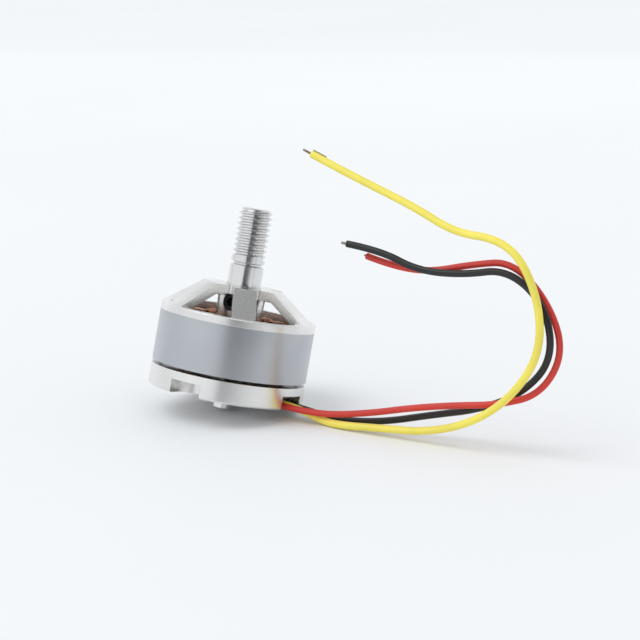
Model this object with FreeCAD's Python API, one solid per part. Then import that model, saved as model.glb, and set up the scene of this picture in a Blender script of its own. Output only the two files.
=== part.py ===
"""Brushless outrunner motor, 18 mm stator class, with a threaded propeller shaft and three leads.

Part frame: millimetres, +Z up along the shaft, origin at the centre of the mounting face,
+X towards the slot that the leads leave through. Every solid is written as parts/NODE.step.
"""
import FreeCAD, Part
import math
import os

from FreeCAD import Vector

UP = Vector(0, 0, 1)
OUT = Vector(1, 0, 0)
ORIGIN = Vector(0, 0, 0)
cut_margin = 1.0

# Mounting base
base_radius = 11.5
base_height = 3.2
base_floor_top = 2.8
base_rim_inner_radius = 10.3
base_edge_chamfer = 0.25
slot_width = 5.0
slot_height = 2.0
slot_end_radius = 9.4
slot_count = 4
lead_window_inner = 6.9
lead_window_outer = 9.6
lead_window_width = 4.6
lead_window_corner_radius = 0.5
mount_hole_radius = 1.0
short_mount_pcd = 12.0
long_mount_pcd = 16.0
tube_radius = 4.1
tube_top = 10.6
tube_bore_radius = 2.6

# Ball bearings, 3 x 6 x 2.5
bearing_bore_radius = 1.5
bearing_outer_radius = 3.0
bearing_width = 2.5
inner_race_radius = 1.95
outer_race_radius = 2.55
ball_radius = 0.4
ball_count = 8
race_clearance = 0.03
cage_inner_radius = 2.08
cage_outer_radius = 2.42
cage_height = 1.2
shield_inner_radius = 2.02
shield_seat_radius = 2.68
shield_thickness = 0.12
lower_bearing_z = 0.4
upper_bearing_z = tube_top - bearing_width

# Stator
tooth_count = 12
stator_radius = 9.0
stator_bottom = 4.4
stator_top = 10.4
yoke_radius = 5.5
tooth_width = 1.2
tooth_tip_inner_radius = 8.35
tooth_tip_span = 25.0
insulator_thickness = 0.3
coil_inner_radius = 5.75
coil_outer_radius = 8.15
coil_root_half_width = 1.38
coil_tip_half_width = 1.95
coil_head_height = 0.85
coil_bend_radius = 0.7
coil_slack = 0.05

# Bell: flux ring, magnets and end cap
bell_radius = 11.5
bell_bottom = 3.7
flux_ring_top = 11.2
flux_ring_inner_radius = 10.45
magnet_count = 14
magnet_inner_radius = 9.25
magnet_span = 23.0
magnet_bottom = 4.2
magnet_top = 10.5
rim_top = 12.35
rim_inner_radius = 10.1
rim_chamfer = 0.2
spigot_depth = 0.5
spoke_count = 6
spoke_phase = 5.0
spoke_width = 3.4
spoke_depth = 1.5
spoke_end_radius = bell_radius - rim_chamfer
spoke_end_z = 12.45
window_corner_radius = 0.5
plateau_radius = 5.9
plateau_z = 16.3
hub_radius = 3.5
hub_bottom = 11.2
hub_foot_radius = 1.95
seat_groove_radius = 2.65
seat_groove_depth = 0.1

# Shaft with its propeller thread
shaft_radius = 1.5
shaft_tail_z = -2.2
shaft_chamfer = 0.2
shoulder_radius = 2.5
collar_top = 19.3
thread_top = 27.8
runout_height = 0.57
runout_flank = 0.2
thread_pitch = 0.8
thread_depth = 0.43
thread_crest = 0.14
thread_root = 0.2
thread_tool_overrun = 0.05
thread_end_chamfer = 0.5

# Small parts on the shaft
shim_thickness = 0.2
shim_inner_radius = 1.53
shim_outer_radius = 1.93
clip_thickness = 0.4
clip_outer_radius = 2.4
clip_groove_radius = 1.15
clip_opening = 1.9
screw_radius = 1.25
screw_z = 13.8
screw_tip_radius = 1.25
screw_head_radius = 3.25
screw_socket_sides = 6
screw_socket_across_flats = 1.3
screw_socket_depth = 1.1
screw_flat_length = 3.75
screw_after_spoke = 4
screw_turn = spoke_phase + (screw_after_spoke + 0.5) * 360.0 / spoke_count

# Leads: outside diameters, and routes from inside the slot to the stripped ends
bend_share = 0.45
tail_radius = 0.4
tail_run = 1.5
coil_bottom = stator_bottom - insulator_thickness - coil_slack - coil_head_height
lead_diameters = {"yellow": 1.1, "red": 0.95, "black": 1.0}
wire_end_diameters = {"yellow": 0.35, "red": 0.35, "black": 0.4}
wire_end_lengths = {"yellow": 1.5, "red": 0.4, "black": 0.9}
lead_routes = {
    "yellow": [
        (9.6, 0.3, 1.1), (13.2, 0.5, 0.7), (16.8, 0.3, -0.4), (20.5, -0.6, -0.2), (26.6, -0.8, 0.8),
        (33.6, -1.2, 1.8), (40.5, -2.1, 4.5), (46.0, -3.0, 9.0), (49.8, -4.3, 15.5), (49.5, -5.6, 22.0),
        (46.2, -6.8, 28.2), (42.1, -7.3, 30.5), (35.6, -7.0, 30.2), (29.2, -7.0, 32.5), (22.6, -7.0, 34.2),
        (16.6, -7.2, 35.8), (11.8, -7.4, 37.2),
    ],
    "red": [
        (9.6, -0.9, 0.5), (13.5, -1.2, 0.5), (18.0, -0.2, 0.8), (24.5, -0.4, 2.5), (31.0, -0.7, 4.7),
        (37.5, -1.0, 6.5), (44.0, -1.3, 8.0), (50.0, -1.6, 10.7), (52.5, -2.2, 17.0), (49.5, -3.4, 23.2),
        (43.7, -4.4, 27.8), (37.7, -4.1, 26.3), (31.0, -3.6, 24.0), (25.0, -3.6, 23.9), (21.3, -3.7, 24.5),
    ],
    "black": [
        (9.6, 1.6, 0.6), (14.0, 1.8, 0.3), (19.0, 1.7, 0.1), (26.0, 1.4, 1.5), (33.5, 1.0, 4.2),
        (40.5, 0.4, 6.5), (47.0, -0.6, 10.2), (51.5, -3.2, 16.0), (49.5, -4.6, 23.0), (43.5, -5.3, 26.7),
        (37.0, -4.9, 24.7), (30.0, -4.8, 24.0), (24.0, -5.1, 25.7), (18.6, -5.1, 25.7),
    ],
}


def turned(outline):
    """Solid of revolution about the shaft axis, from an outline of (radius, height) corners."""
    corners = [Vector(radius, 0, height) for radius, height in outline]
    face = Part.Face(Part.makePolygon(corners + corners[:1]))
    return face.revolve(ORIGIN, UP, 360)


def ring(inner_radius, outer_radius, bottom, top):
    """Plain ring about the shaft axis."""
    section = [(inner_radius, bottom), (outer_radius, bottom), (outer_radius, top), (inner_radius, top)]
    return turned(section)


def cylinder(radius, bottom, top, x=0.0, y=0.0):
    """Upright cylinder."""
    return Part.makeCylinder(radius, top - bottom, Vector(x, y, bottom), UP)


def around(shape, count, first=0.0):
    """Copies of a shape, evenly spaced about the shaft axis."""
    copies = []
    for index in range(count):
        copy = shape.copy()
        copy.rotate(ORIGIN, UP, first + index * 360.0 / count)
        copies.append(copy)
    return copies


def arc_segment(inner_radius, outer_radius, bottom, top, span):
    """Block between two radii, centred on +X, spanning an angle in degrees."""
    corners = [Vector(inner_radius, 0, bottom), Vector(outer_radius, 0, bottom)]
    corners += [Vector(outer_radius, 0, top), Vector(inner_radius, 0, top)]
    face = Part.Face(Part.makePolygon(corners + corners[:1]))
    face.rotate(ORIGIN, UP, -span / 2)
    return face.revolve(ORIGIN, UP, span)


def mounting_base():
    """Turned base with its bearing tube, four slots milled underneath and four mounting holes."""
    outline = [
        (bearing_outer_radius, 0),
        (base_radius - base_edge_chamfer, 0),
        (base_radius, base_edge_chamfer),
        (base_radius, base_height),
        (base_rim_inner_radius, base_height),
        (base_rim_inner_radius, base_floor_top),
        (tube_radius, base_floor_top),
        (tube_radius, tube_top),
        (bearing_outer_radius, tube_top),
        (bearing_outer_radius, upper_bearing_z),
        (tube_bore_radius, upper_bearing_z),
        (tube_bore_radius, lower_bearing_z + bearing_width),
        (bearing_outer_radius, lower_bearing_z + bearing_width),
    ]
    base = turned(outline)
    slot_length = base_radius + cut_margin - slot_end_radius
    slot_corner = Vector(slot_end_radius, -slot_width / 2, 0)
    slot = Part.makeBox(slot_length, slot_width, slot_height, slot_corner)
    slot = slot.fuse(cylinder(slot_width / 2, 0, slot_height, slot_end_radius))
    window_length = lead_window_outer - lead_window_inner
    window_corner = Vector(lead_window_inner, -lead_window_width / 2, 0)
    window = Part.makeBox(window_length, lead_window_width, base_height, window_corner)
    upright = [edge for edge in window.Edges if edge.Vertexes[0].Z != edge.Vertexes[-1].Z]
    window = window.makeFillet(lead_window_corner_radius, upright)
    window = window.common(cylinder(base_radius, slot_height, base_height))
    holes = []
    for circle, first in ((short_mount_pcd, 45.0), (long_mount_pcd, 135.0)):
        hole = cylinder(mount_hole_radius, -cut_margin, base_height, circle / 2)
        holes += around(hole, 2, first)
    return base.cut(around(slot, slot_count) + [window] + holes).removeSplitter()


def ball_bearing(bottom):
    """Shielded deep-groove ball bearing: its parts by name."""
    top = bottom + bearing_width
    middle = bottom + bearing_width / 2
    pitch_radius = (inner_race_radius + outer_race_radius) / 2
    groove = Part.makeTorus(pitch_radius, ball_radius + race_clearance, Vector(0, 0, middle), UP)
    ball = Part.makeSphere(ball_radius, Vector(pitch_radius, 0, middle))
    pocket_start = Vector(ball_radius, 0, middle)
    pocket = Part.makeCylinder(ball_radius + race_clearance, pitch_radius, pocket_start, OUT)
    cage = ring(cage_inner_radius, cage_outer_radius, middle - cage_height / 2, middle + cage_height / 2)
    shields = []
    for level in (bottom + shield_thickness, top - 2 * shield_thickness):
        shields.append(ring(shield_inner_radius, shield_seat_radius, level, level + shield_thickness))
    outer = ring(outer_race_radius, bearing_outer_radius, bottom, top)
    return {
        "inner_ring": ring(bearing_bore_radius, inner_race_radius, bottom, top).cut(groove),
        "outer_ring": outer.cut([groove] + shields),
        "balls": Part.makeCompound(around(ball, ball_count)),
        "cage": cage.cut(around(pocket, ball_count)),
        "shields": Part.makeCompound(shields),
    }


def stator_plate(bottom, top):
    """Toothed plate: yoke ring, straight teeth and curved tooth tips."""
    yoke_middle = (tube_radius + yoke_radius) / 2
    tooth_length = tooth_tip_inner_radius + insulator_thickness - yoke_middle
    tooth_corner = Vector(yoke_middle, -tooth_width / 2, bottom)
    tooth = Part.makeBox(tooth_length, tooth_width, top - bottom, tooth_corner)
    tip = arc_segment(tooth_tip_inner_radius, stator_radius, bottom, top, tooth_tip_span)
    plate = ring(tube_radius, yoke_radius, bottom, top)
    return plate.fuse(around(tooth, tooth_count) + around(tip, tooth_count)).removeSplitter()


def coil():
    """Winding round the tooth on +X: a rounded wedge with the insulated tooth taken out of it."""
    opening_bottom = stator_bottom - insulator_thickness - coil_slack
    opening_top = stator_top + insulator_thickness + coil_slack
    bottom = opening_bottom - coil_head_height
    top = opening_top + coil_head_height
    corners = [
        Vector(coil_inner_radius, -coil_root_half_width, bottom),
        Vector(coil_outer_radius, -coil_tip_half_width, bottom),
        Vector(coil_outer_radius, coil_tip_half_width, bottom),
        Vector(coil_inner_radius, coil_root_half_width, bottom),
    ]
    block = Part.Face(Part.makePolygon(corners + corners[:1])).extrude(Vector(0, 0, top - bottom))
    long_edges = [edge for edge in block.Edges if is_coil_shoulder(edge)]
    block = block.makeFillet(coil_bend_radius, long_edges)
    opening_width = tooth_width + 2 * coil_slack
    opening_corner = Vector(0, -opening_width / 2, opening_bottom)
    opening = Part.makeBox(stator_radius, opening_width, opening_top - opening_bottom, opening_corner)
    return block.cut(opening)


def is_coil_shoulder(edge):
    """True for the four level edges that run outwards along the sides of a coil block."""
    start, end = edge.Vertexes[0].Point, edge.Vertexes[-1].Point
    rise = abs(start.z - end.z)
    run = abs(start.x - end.x)
    return run > coil_bend_radius > rise


def flux_ring():
    """Steel ring that carries the magnets."""
    return ring(flux_ring_inner_radius, bell_radius, bell_bottom, flux_ring_top)


def magnet():
    """Curved magnet on +X, seated against the inside of the flux ring."""
    return arc_segment(magnet_inner_radius, flux_ring_inner_radius, magnet_bottom, magnet_top, magnet_span)


def spoke_window():
    """Upright prism that clears the space between two spokes, centred on +X before it is turned."""
    half_angle = math.radians(180.0 / spoke_count)
    corner_reach = (spoke_width / 2 + window_corner_radius) / math.sin(half_angle)
    height = plateau_z - hub_bottom + cut_margin
    far = bell_radius + cut_margin
    near = spoke_width / 2 / math.sin(half_angle)
    far_half_width = (far - near) * math.tan(half_angle)
    corners = [Vector(near, 0, hub_bottom), Vector(far, -far_half_width, hub_bottom)]
    corners.append(Vector(far, far_half_width, hub_bottom))
    wedge = Part.Face(Part.makePolygon(corners + corners[:1])).extrude(Vector(0, 0, height))
    tangent_x = corner_reach - window_corner_radius * math.sin(half_angle)
    sharp_tip = Part.makeBox(tangent_x, 2 * far, height, Vector(0, -far, hub_bottom))
    round_tip = cylinder(window_corner_radius, hub_bottom, hub_bottom + height, corner_reach)
    return wedge.cut(sharp_tip).fuse(round_tip)


def end_cap():
    """Machined cap of the bell: hub, sloping spokes and the rim that seats in the flux ring."""
    slope = (plateau_z - spoke_end_z) / (spoke_end_radius - plateau_radius)
    rim_underside = plateau_z - spoke_depth - slope * (rim_inner_radius - plateau_radius)
    spider = turned([
        (shaft_radius, hub_bottom),
        (hub_radius, hub_bottom),
        (hub_radius, plateau_z - spoke_depth),
        (plateau_radius, plateau_z - spoke_depth),
        (rim_inner_radius, rim_underside),
        (spoke_end_radius, rim_underside),
        (spoke_end_radius, spoke_end_z),
        (plateau_radius, plateau_z),
        (shaft_radius, plateau_z),
    ])
    windows = around(spoke_window(), spoke_count, spoke_phase + 180.0 / spoke_count)
    rim = turned([
        (rim_inner_radius, flux_ring_top - spigot_depth),
        (flux_ring_inner_radius, flux_ring_top - spigot_depth),
        (flux_ring_inner_radius, flux_ring_top),
        (bell_radius, flux_ring_top),
        (bell_radius, rim_top - rim_chamfer),
        (bell_radius - rim_chamfer, rim_top),
        (rim_inner_radius, rim_top),
    ])
    foot = ring(shaft_radius, hub_foot_radius, tube_top + shim_thickness, hub_bottom)
    cap = spider.cut(windows).fuse([rim, foot])
    seat_groove = ring(shoulder_radius, seat_groove_radius, plateau_z - seat_groove_depth, plateau_z)
    return cap.cut([screw_blank(0, hub_radius + cut_margin), seat_groove]).removeSplitter()


def screw_blank(start_radius, end_radius):
    """Cylinder of the set screw's size, pointing outwards between two spokes."""
    start = Vector(start_radius, 0, screw_z)
    blank = Part.makeCylinder(screw_radius, end_radius - start_radius, start, OUT)
    blank.rotate(ORIGIN, UP, screw_turn)
    return blank


def set_screw():
    """Socket set screw that bears on the flat of the shaft."""
    corner_radius = screw_socket_across_flats / math.sqrt(3)
    corners = []
    for index in range(screw_socket_sides):
        turn = math.tau * index / screw_socket_sides
        across, above = corner_radius * math.cos(turn), corner_radius * math.sin(turn)
        corners.append(Vector(screw_head_radius, across, screw_z + above))
    outline = Part.makePolygon(corners + corners[:1])
    socket = Part.Face(outline).extrude(Vector(-screw_socket_depth, 0, 0))
    socket.rotate(ORIGIN, UP, screw_turn)
    return screw_blank(screw_tip_radius, screw_head_radius).cut(socket)


def thread_turn():
    """One turn of the propeller thread's V groove, the lowest one."""
    start = collar_top + thread_pitch / 2
    root_radius = shoulder_radius - thread_depth
    root_half_width = thread_root / 2
    crest_half_width = (thread_pitch - thread_crest) / 2
    flank_slope = (crest_half_width - root_half_width) / thread_depth
    tool_radius = shoulder_radius + thread_tool_overrun
    tool_half_width = crest_half_width + flank_slope * thread_tool_overrun
    corners = [
        Vector(root_radius, 0, start - root_half_width),
        Vector(tool_radius, 0, start - tool_half_width),
        Vector(tool_radius, 0, start + tool_half_width),
        Vector(root_radius, 0, start + root_half_width),
    ]
    profile = Part.makePolygon(corners + corners[:1])
    helix = Part.makeHelix(thread_pitch, thread_pitch, shoulder_radius)
    helix.translate(Vector(0, 0, start))
    return Part.Wire(helix.Edges).makePipeShell([profile], True, True)


def shaft():
    """Steel shaft: journal, clip groove, flat for the set screw, shoulder, and M5 propeller thread."""
    clip_top = lower_bearing_z - shim_thickness
    runout_radius = shoulder_radius - thread_depth
    blank = turned([
        (0, shaft_tail_z),
        (shaft_radius - shaft_chamfer, shaft_tail_z),
        (shaft_radius, shaft_tail_z + shaft_chamfer),
        (shaft_radius, clip_top - clip_thickness),
        (clip_groove_radius, clip_top - clip_thickness),
        (clip_groove_radius, clip_top),
        (shaft_radius, clip_top),
        (shaft_radius, plateau_z),
        (shoulder_radius, plateau_z),
        (shoulder_radius, collar_top),
        (runout_radius, collar_top + runout_flank),
        (runout_radius, collar_top + runout_height - runout_flank),
        (shoulder_radius, collar_top + runout_height),
        (shoulder_radius, thread_top - thread_end_chamfer),
        (shoulder_radius - thread_end_chamfer, thread_top),
        (0, thread_top),
    ])
    flat_corner = Vector(screw_tip_radius, -shaft_radius, screw_z - screw_flat_length / 2)
    flat = Part.makeBox(shaft_radius, 2 * shaft_radius, screw_flat_length, flat_corner)
    flat.rotate(ORIGIN, UP, screw_turn)
    threaded = blank.cut(flat)
    groove = thread_turn()
    for _ in range(math.ceil((thread_top - collar_top) / thread_pitch)):
        threaded = threaded.cut(groove)
        groove.translate(Vector(0, 0, thread_pitch))
    return threaded


def retaining_clip():
    """Flat C-shaped clip in the groove under the lower bearing."""
    top = lower_bearing_z - shim_thickness
    clip = ring(clip_groove_radius, clip_outer_radius, top - clip_thickness, top)
    mouth_corner = Vector(-clip_outer_radius, -clip_opening / 2, top - clip_thickness)
    return clip.cut(Part.makeBox(clip_outer_radius, clip_opening, clip_thickness, mouth_corner))


def shim(bottom):
    """Thin spacer ring on the shaft."""
    return ring(shim_inner_radius, shim_outer_radius, bottom, bottom + shim_thickness)


def bent_path(points):
    """Wire of straight runs joined by tangent arcs, sized by the shorter run, and the arcs' radii."""
    places = [Vector(*point) for point in points]
    edges = []
    radii = []
    start = places[0]
    for before, corner, after in zip(places, places[1:], places[2:]):
        arriving = (corner - before).normalize()
        leaving = (after - corner).normalize()
        setback = bend_share * min((corner - before).Length, (after - corner).Length)
        half_turn = arriving.getAngle(leaving) / 2
        radius = setback / math.tan(half_turn)
        arc_start = corner - arriving * setback
        arc_end = corner + leaving * setback
        inward = (leaving - arriving).normalize()
        arc_middle = corner + inward * (radius / math.cos(half_turn) - radius)
        edges.append(Part.LineSegment(start, arc_start).toShape())
        edges.append(Part.Arc(arc_start, arc_middle, arc_end).toShape())
        radii.append(radius)
        start = arc_end
    edges.append(Part.LineSegment(start, places[-1]).toShape())
    return Part.Wire(edges), radii


def tube_along(points, radius):
    """Round solid along a bent path, with the path's length and bend radii."""
    path, radii = bent_path(points)
    heading = Vector(*points[1]) - Vector(*points[0])
    section = Part.Wire(Part.makeCircle(radius, Vector(*points[0]), heading))
    return path.makePipeShell([section], True, False), path.Length, radii


def lead(colour):
    """Sleeved lead from inside the slot to the edge of its sleeve."""
    radius = lead_diameters[colour] / 2
    solid, length, radii = tube_along(lead_routes[colour], radius)
    section = math.pi * radius ** 2
    print(colour, "lead length", round(length, 1), "radii", [round(value, 1) for value in radii])
    print("  volume over section times length", round(solid.Volume / (section * length), 4))
    return solid


def wire_end(colour):
    """Stripped, twisted end of a lead, in line with its last run."""
    last, before = Vector(*lead_routes[colour][-1]), Vector(*lead_routes[colour][-2])
    heading = (last - before).normalize()
    return Part.makeCylinder(wire_end_diameters[colour] / 2, wire_end_lengths[colour], last, heading)


def phase_tail(colour):
    """Winding end that drops through the base window and turns into its lead."""
    first, second = Vector(*lead_routes[colour][0]), Vector(*lead_routes[colour][1])
    bend = first - (second - first).normalize() * tail_run
    top = Vector(bend.x, bend.y, coil_bottom)
    return tube_along([tuple(top), tuple(bend), tuple(first)], tail_radius)[0]


def add_bearing_nodes(nodes, name, bottom):
    """Name each part of one bearing after its place in the motor."""
    for part_name, shape in ball_bearing(bottom).items():
        nodes[name + "_bearing_" + part_name] = shape


def build():
    """All the nodes of the motor, by name."""
    nodes = {"mounting_base": mounting_base()}
    add_bearing_nodes(nodes, "lower", lower_bearing_z)
    add_bearing_nodes(nodes, "upper", upper_bearing_z)
    nodes["stator_core"] = stator_plate(stator_bottom, stator_top)
    nodes["lower_insulator"] = stator_plate(stator_bottom - insulator_thickness, stator_bottom)
    nodes["upper_insulator"] = stator_plate(stator_top, stator_top + insulator_thickness)
    for number, shape in enumerate(around(coil(), tooth_count), 1):
        nodes["coil_%02d" % number] = shape
    nodes["flux_ring"] = flux_ring()
    for number, shape in enumerate(around(magnet(), magnet_count), 1):
        nodes["magnet_%02d" % number] = shape
    nodes["end_cap"] = end_cap()
    nodes["shaft"] = shaft()
    nodes["set_screw"] = set_screw()
    nodes["retaining_clip"] = retaining_clip()
    nodes["lower_shim"] = shim(lower_bearing_z - shim_thickness)
    nodes["upper_shim"] = shim(tube_top)
    for colour in lead_routes:
        nodes[colour + "_lead"] = lead(colour)
        nodes[colour + "_wire_end"] = wire_end(colour)
        nodes[colour + "_phase_tail"] = phase_tail(colour)
    return nodes


os.makedirs("parts", exist_ok=True)
for node_name, node_shape in build().items():
    solids = node_shape.Solids
    box = node_shape.BoundBox
    height = "z %.2f..%.2f" % (box.ZMin, box.ZMax)
    print(node_name, len(solids), "solid(s), valid", node_shape.isValid(), height)
    node_shape.exportStep("parts/" + node_name + ".step")
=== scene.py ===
"""Looks for the brushless outrunner motor: leads, windings, finishes, studio and camera.

Metres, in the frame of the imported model: +Z up the shaft, origin at the centre of the mounting face.
"""
import math

import bpy
from mathutils import Matrix, Vector


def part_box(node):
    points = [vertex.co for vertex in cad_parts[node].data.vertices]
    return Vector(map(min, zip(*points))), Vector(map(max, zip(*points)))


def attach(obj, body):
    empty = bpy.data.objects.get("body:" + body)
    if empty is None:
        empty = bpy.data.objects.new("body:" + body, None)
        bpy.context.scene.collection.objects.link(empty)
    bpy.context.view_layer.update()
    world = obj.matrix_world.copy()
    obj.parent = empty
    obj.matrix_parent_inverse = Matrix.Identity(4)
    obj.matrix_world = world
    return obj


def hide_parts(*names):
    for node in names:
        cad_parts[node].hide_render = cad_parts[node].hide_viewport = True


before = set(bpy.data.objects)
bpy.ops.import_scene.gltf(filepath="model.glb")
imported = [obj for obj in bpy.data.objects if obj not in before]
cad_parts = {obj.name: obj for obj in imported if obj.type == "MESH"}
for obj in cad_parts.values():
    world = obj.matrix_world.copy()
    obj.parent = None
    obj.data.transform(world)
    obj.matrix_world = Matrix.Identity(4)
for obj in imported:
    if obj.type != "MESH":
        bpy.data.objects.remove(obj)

UP = Vector((0, 0, 1))

# The motor leans on its shaft's tail and the edge of its base, so the floor is tilted in this frame
LEAN = math.radians(12.4)
LEAN_AZIMUTH = math.radians(66.5)
BASE_EDGE_RADIUS = 0.0115
FLOOR_HALF_WIDTH = 2.5

# Camera: where it looks, how far off it stands, and its direction round the shaft and above the base
CAMERA_TARGET = Vector((0.0102, 0.0063, 0.0132))
CAMERA_DISTANCE = 0.296
CAMERA_AZIMUTH = math.radians(-61.3)
CAMERA_ELEVATION = math.radians(5.1)
CAMERA_LENS = 112.5
CAMERA_SENSOR = 36.0
CAMERA_NEAR = 0.01
CAMERA_FAR = 20

# Light: the key's direction is (right, up, towards the camera), as the camera sees the motor
SKY_COLOUR = (0.96, 0.975, 1.0)
SKY_STRENGTH = 0.86
KEY_FROM = (-0.75, 1.15, 0.45)
KEY_STRENGTH = 0.75
KEY_SPREAD = math.radians(38)

# Glowing cards round the motor that paint reflections on the metal and cast no light or shadow, so only
# reflections show them: azimuth to the right of the camera, elevation and half width, all in degrees as
# the motor sees them, and brightness
CARD_DISTANCE = 0.6
CARD_HALF_HEIGHT = 0.3
CARDS = {
    "dark_reflection_card": (15, 14, 26, 0.05),
    "grey_reflection_card": (66, 14, 28, 0.5),
    "left_soft_box_reflection": (-58, 14, 38, 0.95),
    "back_wall_reflection": (180, 14, 60, 1.0),
    "dim_ceiling_reflection": (185, 62, 20, 0.3),
}

# Leads: routes from the base's slot to the stripped end, with their real lengths and diameters.
# Yellow's first two points lie lower than the part's, which leaves the slot's window open to view.
LEAD_ROUTES = {
    "yellow": [
        (0.0096, 0.0003, 0.0006), (0.0130, 0.0005, 0.0004), (0.0168, 0.0003, -0.0004),
        (0.0205, -0.0006, -0.0002), (0.0266, -0.0008, 0.0008), (0.0336, -0.0012, 0.0018),
        (0.0405, -0.0021, 0.0045), (0.0460, -0.0030, 0.0090), (0.0498, -0.0043, 0.0155),
        (0.0495, -0.0056, 0.0220), (0.0462, -0.0068, 0.0282), (0.0421, -0.0073, 0.0305),
        (0.0356, -0.0070, 0.0302), (0.0292, -0.0070, 0.0325), (0.0226, -0.0070, 0.0342),
        (0.0166, -0.0072, 0.0358), (0.0118, -0.0074, 0.0372),
    ],
    "red": [
        (0.0096, -0.0009, 0.0005), (0.0135, -0.0012, 0.0005), (0.0180, -0.0002, 0.0008),
        (0.0245, -0.0004, 0.0025), (0.0310, -0.0007, 0.0047), (0.0375, -0.0010, 0.0065),
        (0.0440, -0.0013, 0.0080), (0.0500, -0.0016, 0.0107), (0.0525, -0.0022, 0.0170),
        (0.0495, -0.0034, 0.0232), (0.0437, -0.0044, 0.0278), (0.0377, -0.0041, 0.0263),
        (0.0310, -0.0036, 0.0240), (0.0250, -0.0036, 0.0239), (0.0213, -0.0037, 0.0245),
    ],
    "black": [
        (0.0096, 0.0016, 0.0006), (0.0140, 0.0018, 0.0003), (0.0190, 0.0017, 0.0001),
        (0.0260, 0.0014, 0.0015), (0.0335, 0.0010, 0.0042), (0.0405, 0.0004, 0.0065),
        (0.0470, -0.0006, 0.0102), (0.0515, -0.0032, 0.0160), (0.0495, -0.0046, 0.0230),
        (0.0435, -0.0053, 0.0267), (0.0370, -0.0049, 0.0247), (0.0300, -0.0048, 0.0240),
        (0.0240, -0.0051, 0.0257), (0.0186, -0.0051, 0.0257),
    ],
}
LEAD_DIAMETERS = {"yellow": 0.0011, "red": 0.00095, "black": 0.001}
LEAD_COLOURS = {"yellow": (0.97, 0.84, 0.12), "red": (0.66, 0.035, 0.02), "black": (0.010, 0.010, 0.010)}
WIRE_END_LENGTHS = {"yellow": 0.0015, "red": 0.0004, "black": 0.0009}
WIRE_END_DIAMETERS = {"yellow": 0.00035, "red": 0.00035, "black": 0.0004}
TAIL_RADIUS = 0.0004
TAIL_RUN = 0.0015

# Strands: the stripped ends and the winding tails are twisted bundles, six strands round one
OUTER_STRANDS = 6
STRAND_TWIST_PITCH = 0.0022
STRAND_STEPS = 40
NOT_ALONG_A_LEAD = Vector((0.3, 1.0, 0.2))
FOLDED_LEAD = "yellow"
FOLDED_STRANDS = 2
FOLDED_LENGTH = 0.0026

# Windings
COIL_COUNT = 12
COIL_TAPER = 0.2375
COIL_LAYERS = 3
COIL_TURNS = 8
STEPS_PER_TURN = 20
COIL_SQUARENESS = 6
WIRE_RADIUS = 0.000128
TOOTH_HALF_WIDTH = 0.00065
TOOTH_HALF_HEIGHT = 0.00335


class Finish:
    """A procedural material while it is being built."""

    def __init__(self, name, colour, metallic, roughness):
        self.material = bpy.data.materials.new(name)
        self.material.use_nodes = True
        self.tree = self.material.node_tree
        self.shader = self.tree.nodes["Principled BSDF"]
        self.set("Base Color", (*colour, 1))
        self.set("Metallic", metallic)
        self.set("Roughness", roughness)
        self.place = self.node("ShaderNodeTexCoord").outputs["Object"]

    def node(self, kind, **settings):
        """Add a node with these settings."""
        made = self.tree.nodes.new(kind)
        for setting, value in settings.items():
            setattr(made, setting, value)
        return made

    def feed(self, socket, value):
        """Give a socket a fixed value, or link it to another node's output."""
        if isinstance(value, bpy.types.NodeSocket):
            self.tree.links.new(value, socket)
        else:
            socket.default_value = value

    def set(self, name, value):
        """Feed one of the shader's own sockets."""
        self.feed(self.shader.inputs[name], value)

    def maths(self, operation, first, second=0.0):
        """Arithmetic on one or two values."""
        made = self.node("ShaderNodeMath", operation=operation)
        self.feed(made.inputs[0], first)
        self.feed(made.inputs[1], second)
        return made.outputs[0]

    def span(self, value, low, high, start=0.3, end=0.7):
        """Carry a value from start..end over to low..high, clamped."""
        made = self.node("ShaderNodeMapRange")
        for name, number in (("From Min", start), ("From Max", end), ("To Min", low), ("To Max", high)):
            made.inputs[name].default_value = number
        self.feed(made.inputs["Value"], value)
        return made.outputs["Result"]

    def mix(self, factor, first, second):
        """Blend two colours by a factor."""
        made = self.node("ShaderNodeMix", data_type="RGBA")
        self.feed(made.inputs["Factor"], factor)
        self.feed(made.inputs[6], (*first, 1))
        self.feed(made.inputs[7], (*second, 1))
        return made.outputs[2]

    def noise(self, size, detail=3.0, place=None, roughness=0.5):
        """Cloudy noise whose patches are about one size across."""
        made = self.node("ShaderNodeTexNoise")
        self.feed(made.inputs["Vector"], place or self.place)
        made.inputs["Scale"].default_value = 1 / size
        made.inputs["Detail"].default_value = detail
        made.inputs["Roughness"].default_value = roughness
        return made.outputs["Fac"]

    def stretched(self, scale):
        """The piece's own coordinates, scaled along each axis."""
        made = self.node("ShaderNodeMapping")
        self.feed(made.inputs["Vector"], self.place)
        made.inputs["Scale"].default_value = scale
        return made.outputs["Vector"]

    def around_shaft(self):
        """Coordinates that are the same all the way round the shaft: radius and height."""
        parts = self.node("ShaderNodeSeparateXYZ")
        self.feed(parts.inputs[0], self.place)
        squares = [self.maths("MULTIPLY", parts.outputs[axis], parts.outputs[axis]) for axis in (0, 1)]
        radius = self.maths("SQRT", self.maths("ADD", *squares))
        made = self.node("ShaderNodeCombineXYZ")
        self.feed(made.inputs[0], radius)
        self.feed(made.inputs[1], parts.outputs[2])
        return made.outputs[0]

    def relief(self, height, strength, depth, edge_radius=0.0):
        """Bump from a height, over softly rounded edges where a radius is given."""
        bump = self.node("ShaderNodeBump")
        self.feed(bump.inputs["Height"], height)
        bump.inputs["Strength"].default_value = strength
        bump.inputs["Distance"].default_value = depth
        if edge_radius:
            edge = self.node("ShaderNodeBevel", samples=4)
            edge.inputs["Radius"].default_value = edge_radius
            self.feed(bump.inputs["Normal"], edge.outputs["Normal"])
        self.set("Normal", bump.outputs["Normal"])


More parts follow.
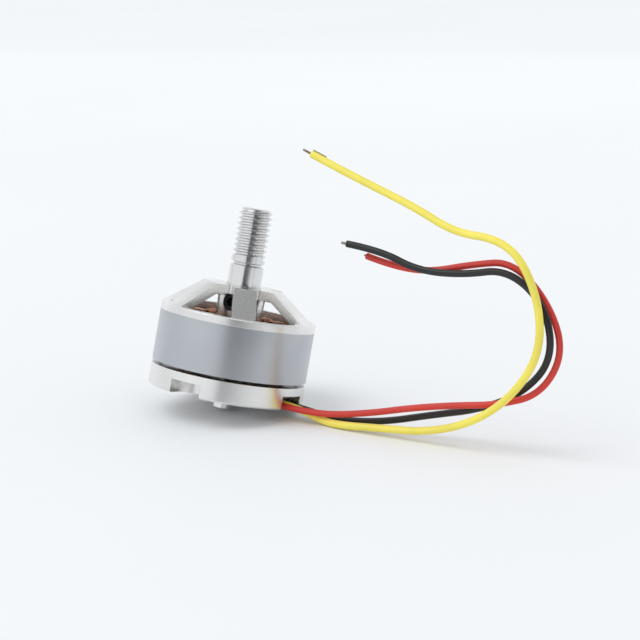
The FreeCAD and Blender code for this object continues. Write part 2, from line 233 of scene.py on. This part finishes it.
def turned_metal(name, colour, dull_colour, roughness, mark_pitch, edge_radius):
    """Lathe-turned metal: fine rings about the shaft, and patches that are duller from handling."""
    finish = Finish(name, colour, 1.0, roughness)
    marks = finish.noise(mark_pitch, 3.0, finish.around_shaft())
    patches = finish.noise(0.005, 3.0)
    finish.set("Base Color", finish.mix(finish.span(patches, 0.0, 1.0), dull_colour, colour))
    varied = finish.maths("ADD", finish.span(marks, -0.02, 0.02), finish.span(patches, 0.03, -0.02))
    finish.set("Roughness", finish.maths("ADD", varied, roughness))
    finish.relief(marks, 0.04, 0.00001, edge_radius)
    return finish.material


def satin_plating(name, colour, dull_colour, roughness):
    """Satin plated steel: a fine even grain with cloudy patches and faint rings from grinding."""
    finish = Finish(name, colour, 1.0, roughness)
    clouds = finish.noise(0.006, 3.0)
    grain = finish.noise(0.0002, 2.0)
    rings = finish.noise(0.0004, 3.0, finish.around_shaft())
    finish.set("Base Color", finish.mix(finish.span(clouds, 0.0, 1.0), dull_colour, colour))
    tone = finish.maths("ADD", finish.span(grain, -0.02, 0.02), finish.span(rings, -0.03, 0.03))
    finish.set("Roughness", finish.maths("ADD", tone, roughness))
    finish.relief(finish.maths("ADD", grain, rings), 0.06, 0.00001, 0.00008)
    return finish.material


def plain_metal(name, colour, roughness, metallic=1.0):
    """Small hardware: stamped or ground metal with a mottled polish and rounded edges."""
    finish = Finish(name, colour, metallic, roughness)
    mottle = finish.noise(0.0008, 4.0)
    scratches = finish.noise(0.0003, 3.0, finish.stretched((1.0, 6.0, 2.0)))
    darker = tuple(0.72 * part for part in colour)
    finish.set("Base Color", finish.mix(finish.span(mottle, 0.0, 1.0), darker, colour))
    tone = finish.maths("ADD", finish.span(mottle, 0.06, -0.04), finish.span(scratches, -0.04, 0.05))
    finish.set("Roughness", finish.maths("ADD", tone, roughness))
    finish.relief(scratches, 0.15, 0.00001, 0.00005)
    return finish.material


def laminated_steel():
    """Stator core: thin stacked sheets that show as fine level lines."""
    sheet_thickness = 0.0002
    sheet, gap = (0.33, 0.33, 0.34), (0.07, 0.065, 0.06)
    finish = Finish("laminated_steel", sheet, 1.0, 0.42)
    parts = finish.node("ShaderNodeSeparateXYZ")
    finish.feed(parts.inputs[0], finish.place)
    phase = finish.maths("FRACT", finish.maths("DIVIDE", parts.outputs[2], sheet_thickness))
    from_middle = finish.maths("ABSOLUTE", finish.maths("SUBTRACT", phase, 0.5))
    face = finish.span(from_middle, 1.0, 0.0, 0.36, 0.48)
    finish.set("Base Color", finish.mix(face, gap, sheet))
    finish.set("Roughness", finish.span(finish.noise(0.0006), 0.36, 0.5))
    finish.relief(face, 0.4, 0.00003)
    return finish.material


def epoxy_coating():
    """Insulating powder coat on the stator's ends: dark, with a soft orange-peel surface."""
    finish = Finish("epoxy_coating", (0.02, 0.022, 0.022), 0.0, 0.38)
    peel = finish.noise(0.0003, 2.0)
    tint = finish.span(finish.noise(0.0015, 3.0), 0.0, 1.0)
    finish.set("Base Color", finish.mix(tint, (0.013, 0.015, 0.015), (0.032, 0.034, 0.034)))
    finish.set("Roughness", finish.span(peel, 0.32, 0.46))
    finish.relief(peel, 0.3, 0.00003)
    return finish.material


def enamelled_copper():
    """Magnet wire: copper under clear enamel, darker where the varnish has pooled."""
    finish = Finish("enamelled_copper", (0.66, 0.27, 0.13), 1.0, 0.33)
    pools = finish.noise(0.0011, 4.0)
    grain = finish.noise(0.0002, 2.0)
    dark, light = (0.36, 0.11, 0.05), (0.74, 0.34, 0.17)
    finish.set("Base Color", finish.mix(finish.span(pools, 0.0, 1.0), dark, light))
    finish.set("Roughness", finish.span(grain, 0.26, 0.40))
    finish.set("Coat Weight", 0.5)
    finish.set("Coat Roughness", 0.2)
    finish.relief(grain, 0.1, 0.00001)
    return finish.material


def tinned_copper():
    """Stripped strands: dull tin over copper that shows through in places."""
    tin, copper = (0.36, 0.35, 0.34), (0.30, 0.13, 0.07)
    finish = Finish("tinned_copper", tin, 1.0, 0.34)
    bare = finish.noise(0.0004, 3.0)
    finish.set("Base Color", finish.mix(finish.span(bare, 0.0, 1.0, 0.5, 0.6), tin, copper))
    finish.set("Roughness", finish.span(finish.noise(0.0002), 0.28, 0.46))
    finish.relief(finish.noise(0.00012, 2.0), 0.2, 0.00001)
    return finish.material


def sleeve(colour_name):
    """Soft sleeve of a lead: slightly uneven colour, fine matt grain and faint handling marks."""
    colour = LEAD_COLOURS[colour_name]
    finish = Finish(colour_name + "_sleeve", colour, 0.0, 0.42)
    cloud = finish.noise(0.005, 4.0)
    grain = finish.noise(0.0001, 3.0)
    bumps = finish.noise(0.0012, 2.0)
    darker = tuple(0.86 * part for part in colour)
    finish.set("Base Color", finish.mix(finish.span(cloud, 0.0, 1.0), darker, colour))
    tone = finish.maths("ADD", finish.span(cloud, 0.36, 0.48), finish.span(grain, -0.04, 0.04))
    finish.set("Roughness", tone)
    height = finish.maths("ADD", finish.maths("MULTIPLY", grain, 0.25), bumps)
    finish.relief(height, 0.3, 0.00004)
    return finish.material


def studio_paper():
    """Plain pale floor with a barely uneven tone."""
    shade, bright = (0.870, 0.885, 0.895), (0.890, 0.905, 0.915)
    finish = Finish("studio_paper", bright, 0.0, 0.75)
    tone = finish.span(finish.noise(0.15, 3.0), 0.0, 1.0)
    finish.set("Base Color", finish.mix(tone, shade, bright))
    finish.set("Roughness", finish.span(finish.noise(0.002), 0.7, 0.8))
    return finish.material


def dress(material, *names):
    """Put one material on CAD nodes, in their own material slots."""
    for name in names:
        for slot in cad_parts[name].material_slots:
            slot.material = material


def link_piece(piece, body, slot_name, material, *stands_for):
    """Place a new piece in the scene, riding on its body, with its finish and what it stands for."""
    bpy.context.scene.collection.objects.link(piece)
    piece.data.materials.append(material)
    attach(piece, body)
    if stands_for:
        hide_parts(*stands_for)
    return piece


def nurbs_curve(name, points, radius=0.0):
    """Curve object of one open NURBS spline, with these control points."""
    curve = bpy.data.curves.new(name, "CURVE")
    curve.dimensions = "3D"
    curve.resolution_u = 16
    curve.bevel_depth = radius
    curve.bevel_resolution = 6
    curve.use_fill_caps = True
    spline = curve.splines.new("NURBS")
    spline.points.add(len(points) - 1)
    for place, point in zip(spline.points, points):
        place.co = (*point, 1)
    spline.order_u = 3
    spline.use_endpoint_u = True
    return bpy.data.objects.new(name, curve)


def line_of(points):
    """Points along the NURBS spline of a route, in order."""
    route = nurbs_curve("route", points)
    bpy.context.scene.collection.objects.link(route)
    bpy.context.view_layer.update()
    mesh = bpy.data.meshes.new_from_object(route.evaluated_get(bpy.context.evaluated_depsgraph_get()))
    line = [vertex.co.copy() for vertex in mesh.vertices]
    bpy.data.objects.remove(route)
    bpy.data.meshes.remove(mesh)
    return line


def wires(name, lines, radius, sides):
    """Curve object of several thin wires, each along its own line of points."""
    curve = bpy.data.curves.new(name, "CURVE")
    curve.dimensions = "3D"
    curve.bevel_depth = radius
    curve.bevel_resolution = sides
    curve.use_fill_caps = True
    for line in lines:
        spline = curve.splines.new("POLY")
        spline.points.add(len(line) - 1)
        for place, point in zip(spline.points, line):
            place.co = (*point, 1)
    return bpy.data.objects.new(name, curve)


def twisted(line, turning_radius, count):
    """Lines of strands that turn together about a centreline, evenly spaced round it."""
    strands = []
    for strand in range(count):
        travelled = 0.0
        wound = []
        for before, here, after in zip([line[0]] + line, line, line[1:] + [line[-1]]):
            travelled += (here - before).length
            heading = (after - before).normalized()
            side = heading.cross(NOT_ALONG_A_LEAD).normalized()
            turn = math.tau * (travelled / STRAND_TWIST_PITCH + strand / count)
            wound.append(here + Matrix.Rotation(turn, 3, heading) @ side * turning_radius)
        strands.append(wound)
    return strands


def bundle(line, radius):
    """Lines of a full bundle: one strand along the middle and the rest twisted round it."""
    return [line] + twisted(line, radius * 2 / 3, OUTER_STRANDS)


def folded_back(route, lead_radius, strand_radius):
    """Lines of the strands that are folded back from the end, along the top of the sleeve."""
    line = line_of(route)[::-1]
    laid = []
    travelled = 0.0
    for here, after in zip(line, line[1:]):
        heading = (after - here).normalized()
        top = (UP - heading * UP.dot(heading)).normalized()
        laid.append(here + top * (lead_radius + strand_radius))
        travelled += (after - here).length
        if travelled > FOLDED_LENGTH:
            break
    return twisted(laid, strand_radius, FOLDED_STRANDS)


def straight_line(start, end):
    """Evenly spaced points between two places."""
    return [start.lerp(end, step / STRAND_STEPS) for step in range(STRAND_STEPS + 1)]


def lead(colour, strand_metal):
    """One sleeved lead with its stripped end and the winding tail that it is joined to."""
    route = LEAD_ROUTES[colour]
    radius = LEAD_DIAMETERS[colour] / 2
    sleeved = nurbs_curve(colour + "_sleeved_lead", route, radius)
    link_piece(sleeved, "stator", colour + "_sleeve", sleeve(colour), colour + "_lead")

    last = Vector(route[-1])
    heading = (last - Vector(route[-2])).normalized()
    end_radius = WIRE_END_DIAMETERS[colour] / 2
    strand_radius = end_radius / 3
    lines = bundle(straight_line(last, last + heading * WIRE_END_LENGTHS[colour]), end_radius)
    if colour == FOLDED_LEAD:
        lines += folded_back(route, radius, strand_radius)
    end = wires(colour + "_stripped_end", lines, strand_radius, 2)
    link_piece(end, "stator", "tinned_copper", strand_metal, colour + "_wire_end")

    first = Vector(route[0])
    bend = first - (Vector(route[1]) - first).normalized() * TAIL_RUN
    top = Vector((bend.x, bend.y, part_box(colour + "_phase_tail")[1].z))
    line = line_of([top, top.lerp(bend, 0.5), bend, first])
    tail = wires(colour + "_winding_tail", bundle(line, TAIL_RADIUS), TAIL_RADIUS / 3, 2)
    link_piece(tail, "stator", "tinned_copper", strand_metal, colour + "_phase_tail")


def winding_line():
    """Centreline of the wire of the coil on +X, wound to and fro along its tooth, layer on layer."""
    low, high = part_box("coil_01")
    middle = (low.z + high.z) / 2
    near = low.x + WIRE_RADIUS
    far = high.x - WIRE_RADIUS
    line = []
    for layer in range(COIL_LAYERS):
        share = layer / (COIL_LAYERS - 1)
        steps = COIL_TURNS * STEPS_PER_TURN
        for step in range(steps):
            travel = step / steps if layer % 2 == 0 else 1 - step / steps
            out = near + (far - near) * travel
            outer_half_width = high.y - COIL_TAPER * (high.x - out) - WIRE_RADIUS
            half_width = (TOOTH_HALF_WIDTH + WIRE_RADIUS) * (1 - share) + outer_half_width * share
            outer_half_height = high.z - middle - WIRE_RADIUS
            half_height = (TOOTH_HALF_HEIGHT + WIRE_RADIUS) * (1 - share) + outer_half_height * share
            turn = math.tau * step / STEPS_PER_TURN
            across = math.copysign(abs(math.cos(turn)) ** (2 / COIL_SQUARENESS), math.cos(turn))
            along = math.copysign(abs(math.sin(turn)) ** (2 / COIL_SQUARENESS), math.sin(turn))
            line.append(Vector((out, half_width * across, middle + half_height * along)))
    return line


def windings(copper):
    """The twelve coils of real wire, each on its tooth."""
    pattern = wires("winding", [winding_line()], WIRE_RADIUS, 1)
    for number in range(1, COIL_COUNT + 1):
        winding = pattern if number == 1 else bpy.data.objects.new("winding", pattern.data.copy())
        winding.name = "winding_%02d" % number
        winding.rotation_euler.z = math.tau * (number - 1) / COIL_COUNT
        link_piece(winding, "stator", "winding_copper", copper, "coil_%02d" % number)


def dress_motor():
    """Finishes of the CAD nodes that stay."""
    warm, warm_dull = (0.84, 0.835, 0.82), (0.76, 0.755, 0.74)
    dress(turned_metal("cap_aluminium", warm, warm_dull, 0.27, 0.00016, 0.0001), "end_cap")
    dress(turned_metal("base_aluminium", warm, warm_dull, 0.25, 0.00020, 0.0001), "mounting_base")
    dress(satin_plating("flux_ring_steel", (0.52, 0.54, 0.565), (0.47, 0.49, 0.52), 0.33), "flux_ring")
    bright, bright_dull = (0.78, 0.78, 0.775), (0.70, 0.70, 0.70)
    dress(turned_metal("shaft_steel", bright, bright_dull, 0.17, 0.00012, 0.00005), "shaft")
    dress(plain_metal("black_oxide_steel", (0.05, 0.05, 0.052), 0.36, 0.6), "set_screw")
    dress(plain_metal("spring_steel", (0.28, 0.27, 0.27), 0.3), "retaining_clip")
    dress(plain_metal("shim_steel", (0.62, 0.58, 0.50), 0.28), "lower_shim", "upper_shim")
    dress(plain_metal("magnet_nickel", (0.63, 0.60, 0.54), 0.24), *numbered("magnet"))
    dress(laminated_steel(), "stator_core")
    dress(epoxy_coating(), "lower_insulator", "upper_insulator")
    race_steel = plain_metal("race_steel", (0.66, 0.66, 0.66), 0.18)
    cage_steel = plain_metal("cage_steel", (0.50, 0.49, 0.47), 0.3)
    shield_steel = plain_metal("shield_steel", (0.58, 0.58, 0.58), 0.26)
    for bearing in ("lower_bearing_", "upper_bearing_"):
        dress(race_steel, bearing + "inner_ring", bearing + "outer_ring", bearing + "balls")
        dress(cage_steel, bearing + "cage")
        dress(shield_steel, bearing + "shields")


def numbered(prefix):
    """Names of the CAD nodes that share a prefix and differ by number."""
    return sorted(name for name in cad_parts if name.startswith(prefix + "_"))


def floor_normal():
    """Upward direction of the floor that the leaning motor stands on."""
    return Vector((
        -math.sin(LEAN) * math.cos(LEAN_AZIMUTH),
        -math.sin(LEAN) * math.sin(LEAN_AZIMUTH),
        math.cos(LEAN),
    ))


def plane(name, centre, across, up, half_width, half_height):
    """Flat rectangle with its sides along two directions."""
    corners = []
    for side, rise in ((-1, -1), (1, -1), (1, 1), (-1, 1)):
        corners.append(centre + across * side * half_width + up * rise * half_height)
    mesh = bpy.data.meshes.new(name)
    mesh.from_pydata(corners, [], [(0, 1, 2, 3)])
    made = bpy.data.objects.new(name, mesh)
    bpy.context.scene.collection.objects.link(made)
    return made


def floor():
    """Pale paper floor under the lower edge of the base."""
    normal = floor_normal()
    edge = Vector((math.cos(LEAN_AZIMUTH), math.sin(LEAN_AZIMUTH), 0)) * BASE_EDGE_RADIUS
    across = normal.cross(edge).normalized()
    paper = plane("floor", edge, across, normal.cross(across), FLOOR_HALF_WIDTH, FLOOR_HALF_WIDTH)
    paper.data.materials.append(studio_paper())


def camera():
    """Camera on the motor, level with the floor."""
    level = math.cos(CAMERA_ELEVATION)
    back = Vector((
        math.cos(CAMERA_AZIMUTH) * level,
        math.sin(CAMERA_AZIMUTH) * level,
        math.sin(CAMERA_ELEVATION),
    ))
    right = floor_normal().cross(back).normalized()
    up = back.cross(right)
    data = bpy.data.cameras.new("camera")
    data.lens = CAMERA_LENS
    data.sensor_width = CAMERA_SENSOR
    data.clip_start = CAMERA_NEAR
    data.clip_end = CAMERA_FAR
    made = bpy.data.objects.new("camera", data)
    position = Matrix.Translation(CAMERA_TARGET + back * CAMERA_DISTANCE)
    made.matrix_world = position @ Matrix((right, up, back)).transposed().to_4x4()
    bpy.context.scene.collection.objects.link(made)
    bpy.context.scene.camera = made
    return right, up, back


def sky():
    """Even pale surroundings."""
    world = bpy.data.worlds.new("sky")
    world.use_nodes = True
    background = world.node_tree.nodes["Background"]
    background.inputs["Color"].default_value = (*SKY_COLOUR, 1)
    background.inputs["Strength"].default_value = SKY_STRENGTH
    bpy.context.scene.world = world


def key_light(right, up, back):
    """Large soft light from the upper left front."""
    data = bpy.data.lights.new("key", "SUN")
    data.energy = KEY_STRENGTH
    data.angle = KEY_SPREAD
    made = bpy.data.objects.new("key", data)
    side, rise, nearness = KEY_FROM
    direction = right * side + up * rise + back * nearness
    made.rotation_mode = "QUATERNION"
    made.rotation_quaternion = direction.to_track_quat("Z", "Y")
    bpy.context.scene.collection.objects.link(made)


def card(name, back, azimuth, elevation, half_angle, brightness):
    """Glowing card that faces the motor from one direction and paints a reflection on the metal: it casts
    no light or shadow and shows only in reflections.
    """
    front = Vector((back.x, back.y, 0)).normalized()
    level = Matrix.Rotation(math.radians(azimuth), 3, UP) @ front
    across = UP.cross(level)
    facing = Matrix.Rotation(math.radians(-elevation), 3, across) @ level
    half_width = CARD_DISTANCE * math.tan(math.radians(half_angle))
    made = plane(name, facing * CARD_DISTANCE, across, facing.cross(across), half_width, CARD_HALF_HEIGHT)
    # Painted reflection: a dim, slightly uneven glow that only glossy rays see
    finish = Finish(name + "_painted_glow", (0.02, 0.02, 0.02), 0.0, 0.9)
    shade = tuple(0.94 * part for part in SKY_COLOUR)
    finish.set("Emission Color", finish.mix(finish.span(finish.noise(0.2), 0.0, 1.0), shade, SKY_COLOUR))
    finish.set("Emission Strength", brightness)
    made.data.materials.append(finish.material)
    made.visible_camera = False
    made.visible_diffuse = False
    made.visible_shadow = False


def studio():
    """Camera, floor and soft light."""
    right, up, back = camera()
    floor()
    sky()
    key_light(right, up, back)
    # Glowing cards that paint reflections on the metal and cast no light
    for name, placing in CARDS.items():
        card(name, back, *placing)
    bpy.context.scene.view_settings.view_transform = "Standard"


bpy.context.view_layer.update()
strands = tinned_copper()
for lead_colour in LEAD_ROUTES:
    lead(lead_colour, strands)
windings(enamelled_copper())
dress_motor()
studio()
